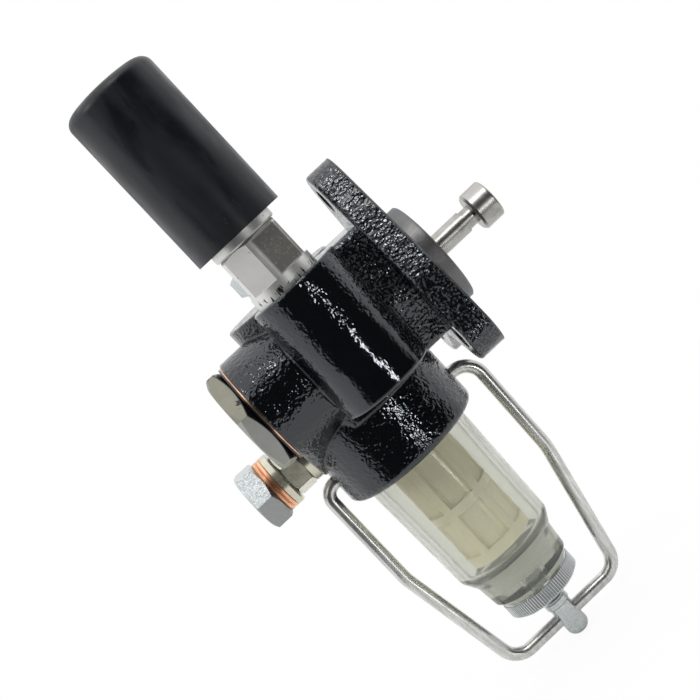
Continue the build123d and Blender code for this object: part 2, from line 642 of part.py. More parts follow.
def strainer_frame():
    top = BOWL_TOP_Z
    inner_d = STRAINER_D - 2 * STRAINER_WALL
    frame = ring(STRAINER_D, inner_d, top - STRAINER_BAND_L, top)
    frame += ring(STRAINER_D, inner_d, STRAINER_MID_Z, STRAINER_MID_Z + STRAINER_MID_L)
    frame += ring(STRAINER_D, inner_d, STRAINER_BOTTOM_Z, STRAINER_BOTTOM_Z + STRAINER_BAND_L)
    frame += rod_z(STRAINER_D, STRAINER_BOTTOM_Z, STRAINER_BOTTOM_Z + STRAINER_WALL)
    height = top - STRAINER_BOTTOM_Z
    wall = ring(STRAINER_D, inner_d, STRAINER_BOTTOM_Z, top)
    for index in range(STRAINER_RIBS):
        bar = Rot(0, 0, 360 / STRAINER_RIBS * index) * Pos(STRAINER_D / 2, 0, (top + STRAINER_BOTTOM_Z) / 2)
        frame += wall & (bar * Box(STRAINER_D / 2, STRAINER_RIB_W, height))
    return BOWL_AXIS * frame


def strainer_gauze():
    outer_d = STRAINER_D - 2 * STRAINER_WALL
    bottom = STRAINER_BOTTOM_Z + STRAINER_WALL
    return BOWL_AXIS * ring(outer_d, outer_d - 2 * GAUZE_T, bottom, BOWL_TOP_Z)


def clamp_nut():
    r, b = NUT_D / 2, NUT_BEVEL
    hole_r = STUD_D / 2 + RUN_FIT
    outline = [
        (hole_r, NUT_BOTTOM_Z), (r - b, NUT_BOTTOM_Z), (r, NUT_BOTTOM_Z + b),
        (r, BOWL_BOTTOM_Z - b), (r - b, BOWL_BOTTOM_Z), (hole_r, BOWL_BOTTOM_Z),
    ]
    return BOWL_AXIS * turned(*outline)


def clamp_stud():
    stud = rod_z(STUD_D, SOCKET_TOP_Z - 1, BOWL_BOTTOM_Z + STUD_RECESS)
    socket = rod_z(SOCKET_D, SOCKET_BOTTOM_Z, SOCKET_TOP_Z)
    stud += fillet(socket.edges().filter_by(GeomType.CIRCLE).sort_by(Axis.Z)[0], SOCKET_END_R)
    collar = rod_z(SOCKET_COLLAR_D, SOCKET_TOP_Z - SOCKET_COLLAR_L, SOCKET_TOP_Z)
    stud += chamfer(collar.edges().filter_by(GeomType.CIRCLE), SOCKET_EDGE)
    eye = Pos(0, 0, BAIL_LOW_Z) * rod_x(WIRE_D + 2 * RUN_FIT, -SOCKET_D, SOCKET_D)
    return BOWL_AXIS * (stud - eye)


def bail_wire():
    """The wire loop: its tips in the bowl head, its arms beside the bowl, its crossbar in the stud."""
    tip = HEAD_D / 2 - BAIL_TIP_DEPTH
    left = [
        (BOWL_X - tip, BAIL_Z), (BAIL_LEFT_X, BAIL_Z), (BAIL_LEFT_X, BAIL_KINK_Z),
        (BOWL_X - BAIL_HALF_LOW, BAIL_LOW_Z),
    ]
    right = [
        (BOWL_X + BAIL_HALF_LOW, BAIL_LOW_Z), (BAIL_RIGHT_X - BAIL_RIGHT_LEAN, BAIL_KINK_Z),
        (BAIL_RIGHT_X, BAIL_Z), (BOWL_X + tip, BAIL_Z),
    ]
    points = [(x, BOWL_Y, z) for x, z in left + right]
    left_r, right_r = BAIL_LEFT_GAP - STEP_FIT, BAIL_RIGHT_GAP - STEP_FIT
    bends = [left_r, BAIL_KINK_R, BAIL_CORNER_R, BAIL_CORNER_R, BAIL_KINK_R, right_r]
    path = FilletPolyline(*points, radius=bends)
    section = Plane(origin=path @ 0, z_dir=path % 0) * Circle(WIRE_D / 2)
    return sweep(section, path)


def all_parts():
    return {
        "pump_housing": pump_housing(),
        "push_rod": push_rod(),
        "rod_guide": rod_guide(),
        "rod_seal": rod_seal(),
        "feed_piston": feed_piston(),
        "piston_spring": piston_spring(),
        "screw_plug": screw_plug(),
        "plug_washer": plug_washer(),
        "inlet_valve": PRIMER_AXIS * valve(),
        "inlet_valve_spring": PRIMER_AXIS * valve_spring(),
        "outlet_valve": OUTLET_AXIS * valve(),
        "outlet_valve_spring": OUTLET_AXIS * valve_spring(),
        "outlet_plug": OUTLET_AXIS * outlet_plug(),
        "outlet_plug_washer": OUTLET_AXIS * seat_ring(OUTLET_RING_W),
        "primer_washer": PRIMER_AXIS * seat_ring(PRIMER_RING_W),
        "primer_base": PRIMER_AXIS * primer_base(),
        "primer_barrel": PRIMER_AXIS * primer_barrel(),
        "primer_gland": PRIMER_AXIS * primer_gland(),
        "primer_piston": PRIMER_AXIS * primer_piston(),
        "primer_seal": PRIMER_AXIS * primer_seal(),
        "primer_rod": PRIMER_AXIS * primer_rod(),
        "primer_knob": PRIMER_AXIS * primer_knob(),
        "inlet_adapter": inlet_adapter(),
        "inlet_washer_inner": inlet_washer(ADAPTER_FACE_X - INLET_RING_T),
        "inlet_washer_outer": inlet_washer(SCREW_SEAT_X),
        "inlet_screw": inlet_screw(),
        "bowl_gasket": bowl_gasket(),
        "glass_bowl": glass_bowl(),
        "strainer_spigot": strainer_spigot(),
        "strainer_frame": strainer_frame(),
        "strainer_gauze": strainer_gauze(),
        "clamp_nut": clamp_nut(),
        "clamp_stud": clamp_stud(),
        "bail_wire": bail_wire(),
    }


os.makedirs("parts", exist_ok=True)
for name, shape in all_parts().items():
    export_step(shape, f"parts/{name}.step")
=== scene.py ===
"""Looks for the fuel feed pump: finishes, small repeated details, studio and camera.

The pump stands upright in metres: +Z up the hand primer, +X out of the push rod, and the camera
looks along +Y at its front, rolled the way the picture was taken.
"""

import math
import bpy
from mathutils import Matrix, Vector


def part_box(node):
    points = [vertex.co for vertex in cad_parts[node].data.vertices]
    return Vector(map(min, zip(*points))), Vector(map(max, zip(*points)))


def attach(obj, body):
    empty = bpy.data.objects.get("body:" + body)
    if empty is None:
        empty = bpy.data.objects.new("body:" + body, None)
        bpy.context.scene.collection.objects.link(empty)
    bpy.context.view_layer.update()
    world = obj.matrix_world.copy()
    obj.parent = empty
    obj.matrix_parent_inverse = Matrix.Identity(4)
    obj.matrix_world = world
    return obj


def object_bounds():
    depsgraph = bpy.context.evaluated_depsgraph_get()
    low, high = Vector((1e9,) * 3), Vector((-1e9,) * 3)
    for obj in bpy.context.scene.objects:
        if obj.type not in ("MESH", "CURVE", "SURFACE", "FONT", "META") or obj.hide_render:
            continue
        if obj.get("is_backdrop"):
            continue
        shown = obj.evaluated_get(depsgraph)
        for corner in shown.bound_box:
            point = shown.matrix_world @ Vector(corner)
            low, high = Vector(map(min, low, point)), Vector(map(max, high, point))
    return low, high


bl_info = {
    "name": "Fuel feed pump looks",
    "version": (1, 0, 0),
    "blender": (4, 5, 0),
    "location": "3D View > Sidebar > Feed pump",
    "description": "Dresses a fuel feed pump: paint, metal, glass, knurl, gauze and a plain studio",
    "category": "Object",
}

import bpy
from bpy.props import FloatProperty, FloatVectorProperty, IntProperty, PointerProperty
from mathutils import Matrix, Vector

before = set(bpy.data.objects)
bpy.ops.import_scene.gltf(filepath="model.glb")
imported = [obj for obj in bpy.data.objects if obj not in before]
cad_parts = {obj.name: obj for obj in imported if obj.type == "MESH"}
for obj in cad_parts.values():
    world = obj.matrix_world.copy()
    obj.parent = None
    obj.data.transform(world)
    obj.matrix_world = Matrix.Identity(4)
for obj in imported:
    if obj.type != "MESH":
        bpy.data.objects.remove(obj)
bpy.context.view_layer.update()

MM = 0.001

# Places on the CAD model, in metres
BOSS_AXIS_XY = (-0.03535, -0.02)
BOSS_RADIUS = 0.0168
PLUG_LAND_RADIUS = 0.0173
PLUG_BEVEL_SLOPE = 0.55
# below this height the screw plug's faces get painted light
PLUG_PAINTED_LIGHT_BELOW_Z = 0.0045
DARK_FLAT_X = -0.0366
DARK_FLAT_Z = (0.0292, 0.0425)
NUT_BEVEL = 0.0007
SOCKET_TOP_Z = -0.1172
STUD_RADIUS = 0.0029
THREAD_GAP = 0.0004

# From where to where the housing's finish changes over, in metres
BOSS_FOOT_Z = (-0.0195, -0.0175)
BOSS_GRAIN_Z = (-0.004, 0.008)
FLANGE_NECK_X = (-0.0245, -0.0225)
PLUG_SIDE_X = (-0.044, -0.05)
PLUG_SIDE_Z = (-0.011, -0.004)
MACHINED_X = (-0.0008, -0.0003)

# From where to where the surroundings change over, as parts of a unit direction; the room's edge
# leans with x
ROOM_FROM_Y = (-0.42, -0.22)
ROOM_LEAN = -0.12
SKY_FROM_Z = (0.64, 0.76)

# Each lamp's name, direction from the pump's middle, distance, width and height, and watts
LAMPS = (
    ("key_left", (-0.66, -0.5, 0.6), 1.25, (0.5, 0.4), 2.4),
    ("streak_front", (0.3, -0.94, -0.16), 0.95, (0.06, 0.2), 0.85),
    ("top_soft", (0.2, -0.55, 0.9), 1.2, (0.2, 0.2), 2.0),
)

# The camera's place in metres, its angles in degrees, and its lens and sensor in millimetres
CAMERA_PLACE = (-0.0505, -0.4304, 0.0466)
CAMERA_TURN, CAMERA_TILT, CAMERA_ROLL = 1.9, 6.82, 43.1
CAMERA_LENS, CAMERA_SENSOR = 69.43, 36.0

FLOOR_CORNERS = 64


# Node helpers


def add(tree, kind, inputs=None, **settings):
    """A node with its settings; an input takes a plain value or another node's socket."""
    made = tree.nodes.new(kind)
    for name, value in settings.items():
        setattr(made, name, value)
    for name, value in (inputs or {}).items():
        socket = made.inputs[name]
        if isinstance(value, bpy.types.NodeSocket):
            tree.links.new(value, socket)
        else:
            socket.default_value = value
    return made


def emptied(data):
    """The cleared node tree of a material or world."""
    data.use_nodes = True
    data.node_tree.nodes.clear()
    return data.node_tree


def math_of(tree, operation, *values, clamp=False):
    inputs = dict(enumerate(values))
    return add(tree, "ShaderNodeMath", inputs, operation=operation, use_clamp=clamp).outputs[0]


def remap(tree, value, low, high, to_low=0.0, to_high=1.0):
    """Turns low..high into to_low..to_high with soft ends."""
    inputs = {0: value, 1: low, 2: high, 3: to_low, 4: to_high}
    return add(tree, "ShaderNodeMapRange", inputs, interpolation_type="SMOOTHSTEP").outputs[0]


def rgba(colour):
    """Three numbers with full alpha; a socket stays as it is."""
    return colour if isinstance(colour, bpy.types.NodeSocket) else (*colour, 1.0)


def blend_colour(tree, share, a, b):
    inputs = {0: share, 6: rgba(a), 7: rgba(b)}
    return add(tree, "ShaderNodeMix", inputs, data_type="RGBA").outputs[2]


def blend_value(tree, share, a, b):
    return add(tree, "ShaderNodeMix", {0: share, 2: a, 3: b}, data_type="FLOAT").outputs[0]


def blend_shader(tree, share, a, b):
    inputs = {0: share, 1: a.outputs[0], 2: b.outputs[0]}
    return add(tree, "ShaderNodeMixShader", inputs)


def noise(tree, place, size_mm, detail=2.0, rough=0.5, warp=0.0):
    """Cloudy grey of about the given grain size in millimetres."""
    inputs = {
        "Vector": place,
        "Scale": 1.0 / (size_mm * MM),
        "Detail": detail,
        "Roughness": rough,
        "Distortion": warp,
    }
    return add(tree, "ShaderNodeTexNoise", inputs).outputs[0]


class Finish:
    """A node material in the making: coordinates, bump layers and the surface shader."""

    def __init__(self, name):
        self.material = bpy.data.materials.new(name)
        self.tree = emptied(self.material)
        self.place = add(self.tree, "ShaderNodeTexCoord").outputs["Object"]
        self.x, self.y, self.z = add(self.tree, "ShaderNodeSeparateXYZ", {0: self.place}).outputs
        self.normal = None

    def noise(self, size_mm, detail=2.0, rough=0.5, warp=0.0, place=None):
        return noise(self.tree, place or self.place, size_mm, detail, rough, warp)

    def cells(self, size_mm):
        """The outputs of a pattern of cells of about the given size in millimetres."""
        inputs = {"Vector": self.place, "Scale": 1.0 / (size_mm * MM)}
        return add(self.tree, "ShaderNodeTexVoronoi", inputs).outputs

    def along(self, *scale):
        """The same coordinates, stretched so that a pattern runs along one axis."""
        inputs = {"Vector": self.place, "Scale": scale}
        return add(self.tree, "ShaderNodeMapping", inputs).outputs[0]

    def calc(self, operation, *values, clamp=False):
        return math_of(self.tree, operation, *values, clamp=clamp)

    def product(self, first, *others):
        for other in others:
            first = self.calc("MULTIPLY", first, other)
        return first

    def remap(self, value, low, high, to_low=0.0, to_high=1.0):
        return remap(self.tree, value, low, high, to_low, to_high)

    def colours(self, share, a, b):
        return blend_colour(self.tree, share, a, b)

    def values(self, share, a, b):
        return blend_value(self.tree, share, a, b)

    def distance_from(self, u, v, axis=(0.0, 0.0)):
        """Distance from an axis that is given by its place on the two other axes."""
        du = self.calc("SUBTRACT", u, axis[0])
        dv = self.calc("SUBTRACT", v, axis[1])
        return self.calc("SQRT", self.calc("ADD", self.product(du, du), self.product(dv, dv)))

    def painted(self, share, metal_surface, paint, paint_rough):
        """Colour, roughness and metalness of a metal surface with paint over a share of it."""
        colour, rough, metal = metal_surface
        return (
            self.colours(share, colour, paint),
            self.values(share, rough, paint_rough),
            self.values(share, metal, 0.0),
        )

    def soften_edges(self, radius):
        """Shades the edges between faces as if they were rounded."""
        self.normal = add(self.tree, "ShaderNodeBevel", {"Radius": radius}, samples=6).outputs[0]

    def bump(self, height, depth_mm):
        inputs = {"Height": height, "Distance": depth_mm * MM, "Strength": 1.0}
        if self.normal:
            inputs["Normal"] = self.normal
        self.normal = add(self.tree, "ShaderNodeBump", inputs).outputs[0]

    def surface(self, **sockets):
        """Ends the material with one Principled shader; names use underscores for spaces."""
        inputs = {key.replace("_", " "): value for key, value in sockets.items()}
        if self.normal:
            inputs["Normal"] = self.normal
        shader = add(self.tree, "ShaderNodeBsdfPrincipled", inputs)
        add(self.tree, "ShaderNodeOutputMaterial", {0: shader.outputs[0]})
        return self.material


def dress(material, *nodes):
    """Gives CAD nodes a finish."""
    for name in nodes:
        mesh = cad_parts[name].data
        mesh.materials.clear()
        mesh.materials.append(material)


# Finishes


def black_casting(s):
    """Gloss black paint over a sand casting, with bare machined faces."""
    f = Finish("black_casting_paint")

    # the flange and neck keep their sand grain, the body less of it, the cleaned-up boss the least
    on_flange = f.remap(f.x, *FLANGE_NECK_X)
    plug_side = f.product(f.remap(f.x, *PLUG_SIDE_X), f.remap(f.z, *PLUG_SIDE_Z))
    share = f.values(on_flange, f.values(plug_side, 0.75, 0.95), 1.0)
    from_boss = f.distance_from(f.x, f.y, BOSS_AXIS_XY)
    within_boss = f.remap(from_boss, BOSS_RADIUS, BOSS_RADIUS + 0.0008, 1.0, 0.0)
    on_boss = f.product(within_boss, f.remap(f.z, *BOSS_FOOT_Z))
    share = f.values(on_boss, share, f.values(f.remap(f.z, *BOSS_GRAIN_Z), 0.16, 0.55))
    patches = f.values(f.remap(f.noise(9.0), 0.35, 0.62), 0.6, 1.0)
    machined = f.remap(f.x, *MACHINED_X)
    share = f.product(share, patches, f.calc("SUBTRACT", 1.0, machined))

    f.soften_edges(s.edge_radius)
    f.bump(f.noise(14.0, 1.0), 0.5)
    f.bump(f.noise(3.6, warp=0.6), 0.16)
    f.bump(f.product(f.noise(s.grain_size, 1.0), share), s.grain_depth)
    f.bump(f.product(f.noise(0.9, 0.0), share), 0.12)

    top_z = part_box("primer_washer")[0].z
    scraped = f.remap(f.noise(1.0, 4.0, 0.6, place=f.along(0.4, 1.0, 1.0)), 0.52, 0.58, 0.0, 0.8)
    on_top = f.product(f.remap(f.z, top_z - 0.0005, top_z - 0.0002), scraped)
    bare = f.calc("ADD", machined, on_top, clamp=True)

    paint = f.colours(f.noise(22.0), s.paint_colour, (0.004, 0.0045, 0.006))
    # pale speckle in the grain: painted glints of the gloss on the sand grain, partly dust
    glint_and_dust = f.remap(f.noise(1.6, 4.0, 0.7), 0.64, 0.76, 0.0, 0.3)
    paint = f.colours(f.product(glint_and_dust, share), paint, (0.055, 0.056, 0.058))
    # pale flecks on the flange side: painted glints where the gloss catches the grain
    flange_glints = f.product(f.remap(f.noise(0.8, 2.0, 0.6), 0.48, 0.64), on_flange)
    paint = f.colours(flange_glints, paint, (0.075, 0.079, 0.086))
    paint_rough = f.values(f.noise(2.2, 3.0), 0.05, 0.11)
    iron = f.colours(f.noise(4.0, 3.0), (0.15, 0.15, 0.15), (0.2, 0.2, 0.198))
    lathe_marks = f.noise(0.5, 2.0, 0.6, place=f.along(0.05, 1.0, 1.0))
    iron_rough = f.values(lathe_marks, 0.34, 0.55)
    return f.surface(
        Base_Color=f.colours(bare, paint, iron),
        Metallic=bare,
        Roughness=f.values(bare, paint_rough, iron_rough),
        Specular_IOR_Level=0.75,
        Specular_Tint=(0.88, 0.94, 1.0, 1.0),
    )


def polished_steel():
    """Ground steel rod with fine rings round it."""
    f = Finish("ground_steel")
    rings = f.noise(0.16, 2.0, 0.6, place=f.along(1.0, 0.05, 0.05))
    f.bump(rings, 0.006)
    stain = f.remap(f.noise(6.0, 4.0, 0.6), 0.45, 0.7)
    colour = f.colours(stain, (0.42, 0.41, 0.39), (0.3, 0.29, 0.27))
    return f.surface(Base_Color=colour, Metallic=1.0, Roughness=f.values(rings, 0.24, 0.4))


def dull_zinc(name, shade=1.0, rough_low=0.36, rough_high=0.55, bevel_end=None):
    """Dull plated steel with handling marks. The screw plug is given the x where its bevel ends: it
    has black paint on the bevel, and painted light on its lower faces, which are coloured brighter."""
    f = Finish(name)
    cloud = f.noise(7.0, 4.0, 0.6)
    f.bump(f.noise(1.1, 3.0), 0.012)
    f.bump(f.noise(8.0, 1.0), 0.08)
    marks = f.remap(f.noise(0.7, 5.0, 0.7, 1.5), 0.6, 0.7, 0.0, 0.5)
    dark = [shade * part for part in (0.2, 0.193, 0.153)]
    light = [shade * part for part in (0.29, 0.283, 0.235)]
    colour = f.colours(marks, f.colours(cloud, dark, light), (0.2, 0.19, 0.16))
    rough = f.values(f.noise(2.5, 3.0), rough_low, rough_high)
    metal = 0.75
    if bevel_end is not None:
        # painted light: the plug's lower faces are coloured a lighter, greyer plate, standing in
        # for light from below
        bright = f.colours(cloud, (0.29, 0.295, 0.275), (0.4, 0.405, 0.39))
        painted_light_z = PLUG_PAINTED_LIGHT_BELOW_Z
        colour = f.colours(f.remap(f.z, painted_light_z - 0.0002, painted_light_z, 1.0, 0.0), colour, bright)
        past_land = f.calc("SUBTRACT", f.distance_from(f.y, f.z), PLUG_LAND_RADIUS)
        bevel_x = f.product(f.calc("MAXIMUM", past_land, 0.0), PLUG_BEVEL_SLOPE)
        beyond = f.calc("SUBTRACT", f.calc("ADD", f.x, bevel_x), bevel_end)
        ragged = f.remap(f.noise(6.0, 3.0, 0.5, 0.4), 0.56, 0.72, 0.0, 0.003)
        smear = f.remap(f.calc("ADD", beyond, ragged), -0.0004, -0.0002)
        plate = (colour, rough, metal)
        colour, rough, metal = f.painted(smear, plate, (0.008, 0.008, 0.009), 0.22)
    return f.surface(Base_Color=colour, Metallic=metal, Roughness=rough)


def bright_zinc(name, relief=1.0, grooves=None, shade_below=None):
    """Bluish zinc plate with its mottled bloom; painted shade makes it dark in the grooves outside
    a radius round the bowl's axis, and painted shade makes it a plain darker grey below a height."""
    f = Finish(name)
    mottle = f.noise(1.0, 4.0, 0.65, 0.8)
    f.bump(f.cells(1.2)["Color"], 0.02 * relief)
    f.bump(mottle, 0.035 * relief)
    colour = f.colours(f.remap(mottle, 0.3, 0.7), (0.42, 0.45, 0.46), (0.6, 0.63, 0.63))
    rough = f.values(mottle, 0.16, 0.28)
    if grooves is not None:
        radius, axis = grooves
        # painted shade: the grooves between the knurl's ribs are coloured dark
        from_axis = f.distance_from(f.x, f.y, axis)
        groove_shade = f.remap(from_axis, radius - 0.0003, radius - 0.0001)
        colour = f.colours(groove_shade, colour, (0.19, 0.2, 0.205))
    if shade_below is not None:
        # painted shade: below the height the lower face is coloured a plain darker grey, without
        # bloom
        plain = f.remap(f.z, shade_below - 0.0002, shade_below + 0.0001, 1.0, 0.0)
        grey = f.colours(mottle, (0.27, 0.28, 0.28), (0.33, 0.335, 0.335))
        colour = f.colours(plain, colour, grey)
        rough = f.values(plain, rough, 0.4)
    return f.surface(Base_Color=colour, Metallic=1.0, Roughness=rough)


def copper(name, paint_until=None):
    """Soft copper washer, dark in its crimped lines. The housing's paint may cover it up to a place
    in x."""
    f = Finish(name)
    crimps = f.noise(0.35, place=f.along(1.0, 0.04, 0.04))
    f.bump(crimps, 0.02)
    tarnish = f.remap(f.noise(2.4, 4.0, 0.6, place=f.along(1.0, 0.3, 0.3)), 0.4, 0.7)
    colour = f.colours(tarnish, (0.82, 0.47, 0.3), (0.52, 0.27, 0.16))
    colour = f.colours(f.remap(crimps, 0.3, 0.45, 0.5, 0.0), colour, (0.14, 0.07, 0.045))
    rough = f.values(tarnish, 0.25, 0.42)
    metal = 1.0
    if paint_until is not None:
        edge = f.calc("ADD", f.x, f.product(f.noise(3.0, 3.0), 0.0003))
        paint = f.remap(edge, paint_until + 0.0001, paint_until + 0.0002, 1.0, 0.0)
        ring = (colour, rough, metal)
        colour, rough, metal = f.painted(paint, ring, (0.01, 0.01, 0.011), 0.2)
    return f.surface(Base_Color=colour, Metallic=metal, Roughness=rough)


def matt_aluminium(name, paint_below=None, dark_flat=False):
    """Grey matt aluminium with small pits. Paint may have crept up its lower edge, and one flat of
    the hexagon is a darker, wrinkled grey."""
    f = Finish(name)
    pits = f.remap(f.cells(1.9)["Distance"], 0.05, 0.13, 1.0, 0.0)
    pits = f.product(pits, f.remap(f.noise(3.0, 1.0), 0.52, 0.58))
    f.bump(f.noise(0.55, 3.0, 0.6), 0.018)
    f.bump(pits, -0.12)
    colour = f.colours(f.noise(5.0, 4.0, 0.6), (0.68, 0.675, 0.66), (0.82, 0.815, 0.8))
    colour = f.colours(f.product(pits, 0.8), colour, (0.08, 0.075, 0.07))
    rough = f.values(f.noise(1.5, 3.0), 0.34, 0.5)
    metal = 0.8
    # one flat of the hexagon is coloured a darker grey, with wrinkles
    if dark_flat:
        soft = 0.0005
        low_z, high_z = DARK_FLAT_Z
        on_dark_flat = f.product(
            f.remap(f.x, DARK_FLAT_X, DARK_FLAT_X + soft),
            f.remap(f.z, low_z, low_z + soft),
            f.remap(f.z, high_z - soft, high_z, 1.0, 0.0),
        )
        wrinkle = f.noise(1.3, 4.0, 0.65, 1.5)
        f.bump(f.product(wrinkle, on_dark_flat), 0.05)
        dark_flat_grey = f.colours(f.remap(wrinkle, 0.56, 0.66), (0.34, 0.325, 0.3), (0.56, 0.545, 0.51))
        colour = f.colours(on_dark_flat, colour, dark_flat_grey)
        rough = f.values(on_dark_flat, rough, 0.42)
    if paint_below is not None:
        near = f.remap(f.z, paint_below, paint_below + 0.0022, 1.0, 0.0)
        strokes = f.noise(1.1, 3.0, 0.6, 0.5, place=f.along(1.0, 1.0, 0.25))
        smear = f.remap(f.calc("ADD", strokes, f.product(near, 0.16)), 0.72, 0.75)
        alloy = (colour, rough, metal)
        colour, rough, metal = f.painted(smear, alloy, (0.015, 0.015, 0.016), 0.25)
    return f.surface(Base_Color=colour, Metallic=metal, Roughness=rough)


def knob_black(s):
    """Satin blue-black sleeve with soft dents and pale scuffs."""
    f = Finish("satin_black_sleeve")
    f.bump(f.noise(16.0, 1.0), 0.35)
    f.bump(f.noise(0.35), 0.008)
    upright = f.along(1.0, 1.0, 0.35)
    scuff = f.remap(f.noise(2.0, 5.0, 0.7, 1.0, place=upright), 0.66, 0.76, 0.0, 0.3)
    dark = f.remap(f.noise(11.0, place=upright), 0.6, 0.74, 0.0, 0.7)
    worn_and_shaded = f.remap(f.noise(9.0, 4.0, 0.6, 0.6, place=upright), 0.36, 0.62)
    colour = f.colours(f.noise(30.0), s.sleeve_colour, (0.005, 0.0068, 0.012))
    colour = f.colours(dark, colour, (0.003, 0.0035, 0.006))
    colour = f.colours(scuff, colour, (0.1, 0.105, 0.11))
    return f.surface(Base_Color=colour, Roughness=f.values(worn_and_shaded, 0.32, 0.52))


def wire_steel():
    """Dull drawn wire."""
    f = Finish("drawn_wire")
    streak = f.noise(1.2, 4.0, 0.6, place=f.along(1.0, 1.0, 0.12))
    f.bump(streak, 0.02)
    colour = f.colours(f.remap(streak, 0.35, 0.65), (0.5, 0.5, 0.485), (0.66, 0.66, 0.645))
    spots = f.remap(f.noise(1.0, 5.0, 0.7), 0.66, 0.72, 0.0, 0.35)
    colour = f.colours(spots, colour, (0.2, 0.19, 0.17))
    rough = f.values(f.noise(4.0, 3.0), 0.22, 0.36)
    return f.surface(Base_Color=colour, Metallic=0.95, Roughness=rough)


def cream_nylon(name, colour_a, colour_b, rough):
    """Moulded nylon, slightly uneven."""
    f = Finish(name)
    f.bump(f.noise(1.5), 0.03)
    colour = f.colours(f.noise(9.0, 3.0), colour_a, colour_b)
    rough = f.values(f.noise(3.0), rough - 0.06, rough + 0.08)
    return f.surface(Base_Color=colour, Roughness=rough)


def rubber():
    """Black oilproof rubber of the hidden seals."""
    f = Finish("oilproof_rubber")
    f.bump(f.noise(0.6, 3.0), 0.02)
    colour = f.colours(f.noise(4.0, 3.0), (0.016, 0.016, 0.017), (0.035, 0.034, 0.033))
    return f.surface(Base_Color=colour, Roughness=f.values(f.noise(2.0), 0.5, 0.7))


def plain_metal(name, dark, light):
    """Turned or drawn metal for the pieces inside."""
    f = Finish(name)
    f.bump(f.noise(0.4, 3.0), 0.01)
    colour = f.colours(f.noise(3.0, 4.0, 0.6), dark, light)
    rough = f.values(f.noise(1.5, 3.0), 0.25, 0.4)
    return f.surface(Base_Color=colour, Metallic=1.0, Roughness=rough)


def clear_glass(s):
    """Thick pressed glass. Shadow and soft light pass it, so that the strainer inside stays lit."""
    f = Finish("pressed_glass")
    f.bump(f.noise(24.0, 1.0), 0.35)
    f.bump(f.noise(5.0), 0.05)
    material = f.surface(
        Base_Color=rgba(s.glass_colour),
        Roughness=f.values(f.noise(6.0, 3.0), 0.05, 0.12),
        Transmission_Weight=1.0,
        IOR=1.5,
    )
    tree = material.node_tree
    out = next(node for node in tree.nodes if node.type == "OUTPUT_MATERIAL")
    glass = out.inputs[0].links[0].from_node
    path = add(tree, "ShaderNodeLightPath").outputs
    unbent = math_of(tree, "MAXIMUM", path["Is Shadow Ray"], path["Is Diffuse Ray"])
    clear = add(tree, "ShaderNodeBsdfTransparent", {0: (0.99, 0.99, 0.97, 1.0)})
    haze = add(tree, "ShaderNodeBsdfDiffuse", {0: (0.8, 0.8, 0.74, 1.0)})
    mixed = blend_shader(tree, unbent, blend_shader(tree, s.glass_haze, glass, haze), clear)
    tree.links.new(mixed.outputs[0], out.inputs[0])
    inputs = {"Color": rgba(s.glass_depth_colour), "Density": s.glass_density}
    depth = add(tree, "ShaderNodeVolumeAbsorption", inputs)
    tree.links.new(depth.outputs[0], out.inputs["Volume"])
    return material


# Geometry node pieces


def place_of(x, y, z):
    """The named inputs that put a piece at a place."""
    return {"Place X": x, "Place Y": y, "Place Z": z}


def new_tree(name, sizes, counts):
    """An empty geometry tree with named inputs and one geometry output."""
    tree = bpy.data.node_groups.new(name, "GeometryNodeTree")
    for label, value in sizes.items():
        item = tree.interface.new_socket(label, in_out="INPUT", socket_type="NodeSocketFloat")
        item.default_value = value
        item.subtype = "DISTANCE"
    for label, value in counts.items():
        kind = "NodeSocketInt" if isinstance(value, int) else "NodeSocketFloat"
        item = tree.interface.new_socket(label, in_out="INPUT", socket_type=kind)
        item.default_value = value
    tree.interface.new_socket("Finish", in_out="INPUT", socket_type="NodeSocketMaterial")
    tree.interface.new_socket("Geometry", in_out="OUTPUT", socket_type="NodeSocketGeometry")
    return tree, add(tree, "NodeGroupInput").outputs


def end_tree(tree, given, geometry):
    """Puts the geometry in its place, with its finish."""
    inputs = {0: given["Place X"], 1: given["Place Y"], 2: given["Place Z"]}
    place = add(tree, "ShaderNodeCombineXYZ", inputs).outputs[0]
    inputs = {"Geometry": geometry, "Translation": place}
    placed = add(tree, "GeometryNodeTransform", inputs)
    real = add(tree, "GeometryNodeRealizeInstances", {0: placed.outputs[0]})
    inputs = {"Geometry": real.outputs[0], "Material": given["Finish"]}
    finished = add(tree, "GeometryNodeSetMaterial", inputs)
    add(tree, "NodeGroupOutput", {0: finished.outputs[0]})
    return tree


def grow(name, make_tree, sizes, counts, material, body):
    """Runs a geometry tree once and keeps its result as a plain mesh that rides on a body."""
    tree = make_tree(sizes, counts)
    values = {**sizes, **counts, "Finish": material}
    host = bpy.data.objects.new(name + "_host", bpy.data.meshes.new(name + "_host"))
    bpy.context.scene.collection.objects.link(host)
    modifier = host.modifiers.new(name, "NODES")
    modifier.node_group = tree
    for item in tree.interface.items_tree:
        if item.item_type == "SOCKET" and item.in_out == "INPUT":
            modifier[item.identifier] = values[item.name]
    graph = bpy.context.evaluated_depsgraph_get()
    graph.update()
    mesh = bpy.data.meshes.new_from_object(host.evaluated_get(graph), depsgraph=graph)
    bpy.data.objects.remove(host)
    if len(mesh.polygons) == 0:
        raise RuntimeError(f"{name} came out empty")
    mesh.name = name
    if material.name not in [m.name for m in mesh.materials if m]:
        mesh.materials.append(material)
    piece = bpy.data.objects.new(name, mesh)
    bpy.context.scene.collection.objects.link(piece)
    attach(piece, body)


